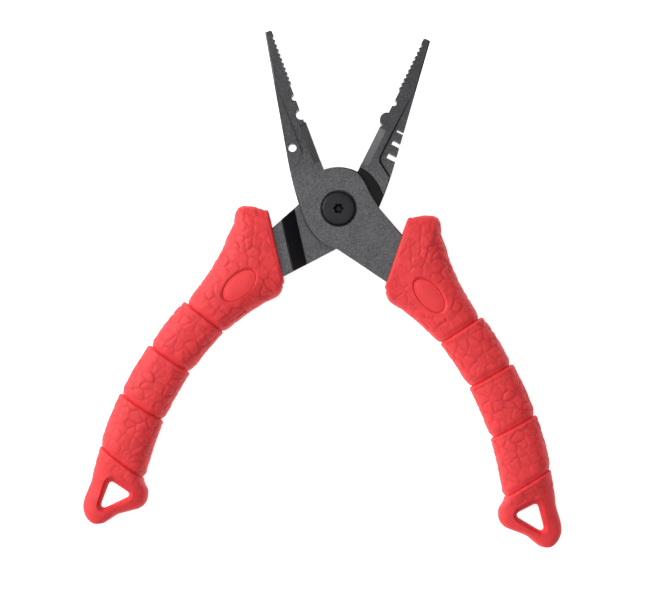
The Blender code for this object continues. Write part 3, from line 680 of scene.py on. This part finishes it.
# %% A helper for grained finishes


def grained(name, dark, light, roughness, metallic, grain_scale, blotch_scale, bump, speckle=0.3):
    """A material with two tones, uneven roughness and fine bump. Returns it and its nodes by role."""
    material = bpy.data.materials.new(name + "_finish")
    material.use_nodes = True
    tree = material.node_tree
    shader = tree.nodes["Principled BSDF"]
    shader.inputs["Metallic"].default_value = metallic
    group = tree.nodes.new("ShaderNodeGroup")
    group.node_tree = grain
    group.inputs["Grain Scale"].default_value = grain_scale
    group.inputs["Blotch Scale"].default_value = blotch_scale
    tones = tree.nodes.new("ShaderNodeMix")
    tones.data_type = "RGBA"
    tones.inputs["A"].default_value = (*dark, 1)
    tones.inputs["B"].default_value = (*light, 1)
    gritty = tree.nodes.new("ShaderNodeMix")
    gritty.inputs["Factor"].default_value = speckle
    contrast = tree.nodes.new("ShaderNodeMapRange")
    contrast.inputs["From Min"].default_value = 0.35
    contrast.inputs["From Max"].default_value = 0.65
    uneven = tree.nodes.new("ShaderNodeMapRange")
    uneven.inputs["To Min"].default_value = roughness - 0.08
    uneven.inputs["To Max"].default_value = roughness + 0.08
    relief = tree.nodes.new("ShaderNodeBump")
    relief.inputs["Distance"].default_value = bump * MM
    tree.links.new(group.outputs["Blotch"], gritty.inputs["A"])
    tree.links.new(group.outputs["Height"], gritty.inputs["B"])
    tree.links.new(gritty.outputs["Result"], contrast.inputs["Value"])
    tree.links.new(contrast.outputs["Result"], tones.inputs["Factor"])
    tree.links.new(group.outputs["Blotch"], uneven.inputs["Value"])
    tree.links.new(uneven.outputs["Result"], shader.inputs["Roughness"])
    tree.links.new(tones.outputs["Result"], shader.inputs["Base Color"])
    tree.links.new(group.outputs["Height"], relief.inputs["Height"])
    tree.links.new(relief.outputs["Normal"], shader.inputs["Normal"])
    return material, {"shader": shader, "group": group, "tones": tones, "tree": tree}


def finish_node(name, material):
    """Puts this material on a piece, whatever it had before."""
    piece = nodes[name]
    piece.data.materials.clear()
    piece.data.materials.append(material)


# %% [markdown]
# ## Coated steel
#
# The levers get a grey coating, dull and slightly gritty. The jaws are to look darker than the round
# boss. This lesson doesn't say what would make a real jaw darker. It only paints the tone: a second Mix
# darkens it along the jaws, with a slow change across the joint.

# %% Coated steel for the levers
coated, parts = grained(
    "coated_steel", (0.060, 0.060, 0.064), (0.150, 0.150, 0.158), 0.4, 0.85, 2600, 160, 0.09, speckle=0.75
)
tree = parts["tree"]


def add_node(tree, kind, **settings):
    """A new node. Settings are its properties, or its inputs by name with spaces as underscores."""
    made = tree.nodes.new("ShaderNode" + kind)
    for key, value in settings.items():
        if hasattr(made, key):
            setattr(made, key, value)
        else:
            made.inputs[key.replace("_", " ")].default_value = value
    return made


position = add_node(tree, "TexCoord")
split = add_node(tree, "SeparateXYZ")
jaws = add_node(tree, "MapRange", From_Min=9 * MM, From_Max=20 * MM)
darker_jaws = add_node(tree, "Mix", data_type="RGBA", blend_type="MULTIPLY")
darker_jaws.inputs["B"].default_value = (0.68, 0.68, 0.68, 1)
tree.links.new(position.outputs["Object"], split.inputs["Vector"])
tree.links.new(split.outputs["Y"], jaws.inputs["Value"])
tree.links.new(jaws.outputs["Result"], darker_jaws.inputs["Factor"])
tree.links.new(parts["tones"].outputs["Result"], darker_jaws.inputs["A"])
print("coating tones and darker jaws ready")

# %% [markdown]
# The sunken faces of the joint are painted nearly black. That is painted shade and not a finish that is
# known: the ramps face away from the lights, and the recesses lie in shadow. The faces are found by their
# place: near the pivot's axis, below the top face, and either sloping on the handle's side, or flat and
# deep on the jaws' side. Each test is a Math node that gives 0 or 1. Multiplying two tests keeps what
# passes both, and the larger of two keeps what passes either.

# %% Painted shade on the sunken faces of the joint
JOINT_REACH = 26 * MM  # from the pivot's axis
BELOW_FACE = 4.05 * MM  # from the middle plane, just inside the levers' outer faces
DEEP = 1.2 * MM  # from the middle plane
JAW_SIDE = 1.5 * MM  # along Y: the jaws' side starts here


def compare(value, operation, limit):
    test = add_node(tree, "Math", operation=operation)
    tree.links.new(value, test.inputs[0])
    test.inputs[1].default_value = limit
    return test.outputs["Value"]


def combine(operation, first, second):
    both = add_node(tree, "Math", operation=operation)
    tree.links.new(first, both.inputs[0])
    tree.links.new(second, both.inputs[1])
    return both.outputs["Value"]


flat_place = add_node(tree, "CombineXYZ")
tree.links.new(split.outputs["X"], flat_place.inputs["X"])
tree.links.new(split.outputs["Y"], flat_place.inputs["Y"])
from_axis = add_node(tree, "VectorMath", operation="LENGTH")
tree.links.new(flat_place.outputs["Vector"], from_axis.inputs[0])
tilt = add_node(tree, "SeparateXYZ")
tree.links.new(position.outputs["Normal"], tilt.inputs["Vector"])
upright_share = add_node(tree, "Math", operation="ABSOLUTE")
tree.links.new(tilt.outputs["Z"], upright_share.inputs[0])

near_axis = compare(from_axis.outputs["Value"], "LESS_THAN", JOINT_REACH)
from_middle = add_node(tree, "Math", operation="SUBTRACT")
tree.links.new(split.outputs["Z"], from_middle.inputs[0])
from_middle.inputs[1].default_value = MIDDLE * MM
depth_in = add_node(tree, "Math", operation="ABSOLUTE")
tree.links.new(from_middle.outputs["Value"], depth_in.inputs[0])
below_face = compare(depth_in.outputs["Value"], "LESS_THAN", BELOW_FACE)
sloping = compare(upright_share.outputs["Value"], "LESS_THAN", 0.92)
ramps = combine("MULTIPLY", sloping, compare(split.outputs["Y"], "LESS_THAN", JAW_SIDE))
deep = compare(depth_in.outputs["Value"], "LESS_THAN", DEEP)
flat = compare(upright_share.outputs["Value"], "GREATER_THAN", 0.97)
jaw_side = compare(split.outputs["Y"], "GREATER_THAN", JAW_SIDE)
recesses = combine("MULTIPLY", combine("MULTIPLY", deep, flat), jaw_side)
sunken_shade = combine("MULTIPLY", combine("MULTIPLY", near_axis, below_face), combine("MAXIMUM", ramps, recesses))
# Painted shade: the sunken faces of the joint become nearly black.
joint_shade = add_node(tree, "Mix", data_type="RGBA")
joint_shade.inputs["B"].default_value = (0.012, 0.012, 0.014, 1)

# %% [markdown]
# The cutter's bevels and the edges of the jaws' flutes lean, so they are picked out by direction too.
# Those that face +x get painted shade, as dark as the joint, and those that face -x a painted lighter
# tone. A real tool would have one finish on both, and most of this difference would come from the light,
# so this is painted light and shade. It does make the line between the blades easy to see. Where the
# painted shade lies, the metallic value and the mirror-like share go down, so that it catches little of
# the lights.

# %% Painted shade and painted light on the jaws' edges
EDGES_START = 9.5 * MM  # along Y
past_joint = compare(split.outputs["Y"], "GREATER_THAN", EDGES_START)
leaning = combine("MULTIPLY", sloping, compare(upright_share.outputs["Value"], "GREATER_THAN", 0.2))
bevels = combine("MULTIPLY", past_joint, leaning)
# Painted shade on the bevels that face +x, and a painted lighter tone on all the other bevels.
shaded_bevels = combine("MULTIPLY", bevels, compare(tilt.outputs["X"], "GREATER_THAN", 0.0))
lit_bevels = add_node(tree, "Mix", data_type="RGBA")
lit_bevels.inputs["B"].default_value = (0.10, 0.10, 0.104, 1)
tree.links.new(bevels, lit_bevels.inputs["Factor"])
tree.links.new(darker_jaws.outputs["Result"], lit_bevels.inputs["A"])
shade_mask = combine("MAXIMUM", sunken_shade, shaded_bevels)
tree.links.new(shade_mask, joint_shade.inputs["Factor"])
tree.links.new(lit_bevels.outputs["Result"], joint_shade.inputs["A"])
tree.links.new(joint_shade.outputs["Result"], parts["shader"].inputs["Base Color"])
for socket_name, coated_value, dark_value in (("Metallic", 0.85, 0.0), ("Specular IOR Level", 0.5, 0.2)):
    fall = add_node(tree, "MapRange")
    fall.inputs["To Min"].default_value = coated_value
    fall.inputs["To Max"].default_value = dark_value
    tree.links.new(shade_mask, fall.inputs["Value"])
    tree.links.new(fall.outputs["Result"], parts["shader"].inputs[socket_name])
for name in ("front_lever", "rear_lever"):
    finish_node(name, coated)
print("levers coated, sunken faces and edges toned")

# %% [markdown]
# ## Small hardware
#
# The screw and its nut get a black steel finish, the washer under the head a black polymer and the
# thrust washer inside the joint a bronze. The nut and that washer can't be seen from outside, so their
# finishes are guesses. All use the same helper with their own values.

# %% Screw, nut and washers
nodes["pivot_screw_turned"] = screw
black_steel, _ = grained(
    "black_steel", (0.013, 0.013, 0.015), (0.022, 0.022, 0.025), 0.42, 0.6, 4000, 300, 0.02
)
polymer, _ = grained("black_polymer", (0.006, 0.006, 0.006), (0.012, 0.012, 0.013), 0.6, 0.0, 5000, 300, 0.02)
bronze, _ = grained("bronze", (0.40, 0.25, 0.10), (0.50, 0.33, 0.15), 0.38, 1.0, 5000, 300, 0.02)
for name, material in (
    ("pivot_screw_turned", black_steel),
    ("pivot_sleeve", black_steel),
    ("head_washer", polymer),
    ("joint_washer", bronze),
):
    finish_node(name, material)

# %% [markdown]
# ## Red rubber and red nylon
#
# The skin is a soft matte rubber, and the core under it is a harder plastic of nearly the same red,
# smoother and a little shinier. On the skin, the stored relief paints shade into the grooves.

# %% Rubber skin and nylon core
rubber, parts = grained("red_rubber", (0.68, 0.022, 0.027), (0.86, 0.037, 0.044), 0.6, 0.0, 1500, 260, 0.10)
tree = parts["tree"]
stored = tree.nodes.new("ShaderNodeAttribute")
stored.attribute_name = "relief"
# Painted shade: the deeper the groove, the darker its red.
groove_shade = tree.nodes.new("ShaderNodeMath")
groove_shade.operation = "MULTIPLY"
groove_shade.inputs[1].default_value = 0.45
shaded_grooves = tree.nodes.new("ShaderNodeMix")
shaded_grooves.data_type = "RGBA"
shaded_grooves.inputs["B"].default_value = (0.42, 0.012, 0.018, 1)
tree.links.new(stored.outputs["Fac"], groove_shade.inputs[0])
tree.links.new(groove_shade.outputs["Value"], shaded_grooves.inputs["Factor"])
tree.links.new(parts["tones"].outputs["Result"], shaded_grooves.inputs["A"])
tree.links.new(shaded_grooves.outputs["Result"], parts["shader"].inputs["Base Color"])
for half, grip in grips.items():
    nodes[grip.name] = grip
    finish_node(grip.name, rubber)

nylon, _ = grained("red_nylon", (0.78, 0.028, 0.034), (0.88, 0.036, 0.042), 0.5, 0.0, 3000, 200, 0.01)
for half in place:
    for name in (f"{half}_grip_core", f"{half}_oval_pad_top", f"{half}_oval_pad_bottom"):
        finish_node(name, nylon)
print("materials:", sorted(material.name for material in bpy.data.materials))

# %% [markdown]
# ## Table and light
#
# The table is a large white plane just under the lowest point. Its own emission keeps it white, as a lit
# studio table is, and also hides most of the shadow that the pliers cast on it. The main light is a
# large soft panel to the left, so both grips have a bright left side and a darker right side. A weaker
# panel straight above lights the top faces. The surroundings fade from bright at -x to dim at +x.

# %% Floor, lights and surroundings
low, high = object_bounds()
bpy.ops.mesh.primitive_plane_add(size=6, location=(0, 0, low.z - 0.0002))
floor = bpy.context.object
floor.name = "floor"
floor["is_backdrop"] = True
floor_finish = bpy.data.materials.new("white_table")
floor_finish.use_nodes = True
floor_shader = floor_finish.node_tree.nodes["Principled BSDF"]
floor_shader.inputs["Base Color"].default_value = (0.92, 0.92, 0.92, 1)
floor_shader.inputs["Roughness"].default_value = 0.9
floor_shader.inputs["Emission Color"].default_value = (1, 1, 1, 1)
floor_shader.inputs["Emission Strength"].default_value = 0.75
floor.data.materials.append(floor_finish)


def panel(name, spot, size, power):
    """A soft square light that faces the pliers."""
    lamp = bpy.data.lights.new(name, "AREA")
    lamp.size = size
    lamp.energy = power
    made = bpy.data.objects.new(name, lamp)
    made.location = spot
    made.rotation_euler = (Vector((0, -0.03, 0)) - Vector(spot)).to_track_quat("-Z", "Y").to_euler()
    bpy.context.scene.collection.objects.link(made)


panel("main_light", (-0.62, 0.22, 0.48), 0.40, 4.4)
panel("top_light", (0.0, 0.0, 1.1), 0.50, 1.3)
world = bpy.data.worlds.new("studio")
world.use_nodes = True
studio = world.node_tree
outlook = studio.nodes.new("ShaderNodeTexCoord")
sides = studio.nodes.new("ShaderNodeSeparateXYZ")
walls = studio.nodes.new("ShaderNodeMapRange")
walls.inputs["From Min"].default_value = -1.0
walls.inputs["From Max"].default_value = 1.0
walls.inputs["To Min"].default_value = 0.95
walls.inputs["To Max"].default_value = 0.12
studio.links.new(outlook.outputs["Generated"], sides.inputs["Vector"])
studio.links.new(sides.outputs["X"], walls.inputs["Value"])
studio.links.new(walls.outputs["Result"], studio.nodes["Background"].inputs["Strength"])
studio.nodes["Background"].inputs["Color"].default_value = (1, 1, 1, 1)
bpy.context.scene.world = world
bpy.context.scene.view_settings.view_transform = "Standard"

# %% [markdown]
# ## Camera
#
# The camera looks straight down from three quarters of a metre, over a point a little towards the
# handles, and is turned three degrees. A long lens keeps the perspective mild.

# %% Camera
camera_data = bpy.data.cameras.new("camera")
camera_data.sensor_width = 36.0
camera_data.lens = 124.8
camera = bpy.data.objects.new("camera", camera_data)
camera.location = (-1.1 * MM, -29.4 * MM, (MIDDLE + 750) * MM)
camera.rotation_euler = (0, 0, math.radians(3))
bpy.context.scene.collection.objects.link(camera)
bpy.context.scene.camera = camera

visual_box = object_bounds()
boxes = {"cad": [list(corner) for corner in cad_box], "visual": [list(corner) for corner in visual_box]}
for name, (low, high) in boxes.items():
    print(name, [round((b - a) * 1000, 1) for a, b in zip(low, high)], "mm")
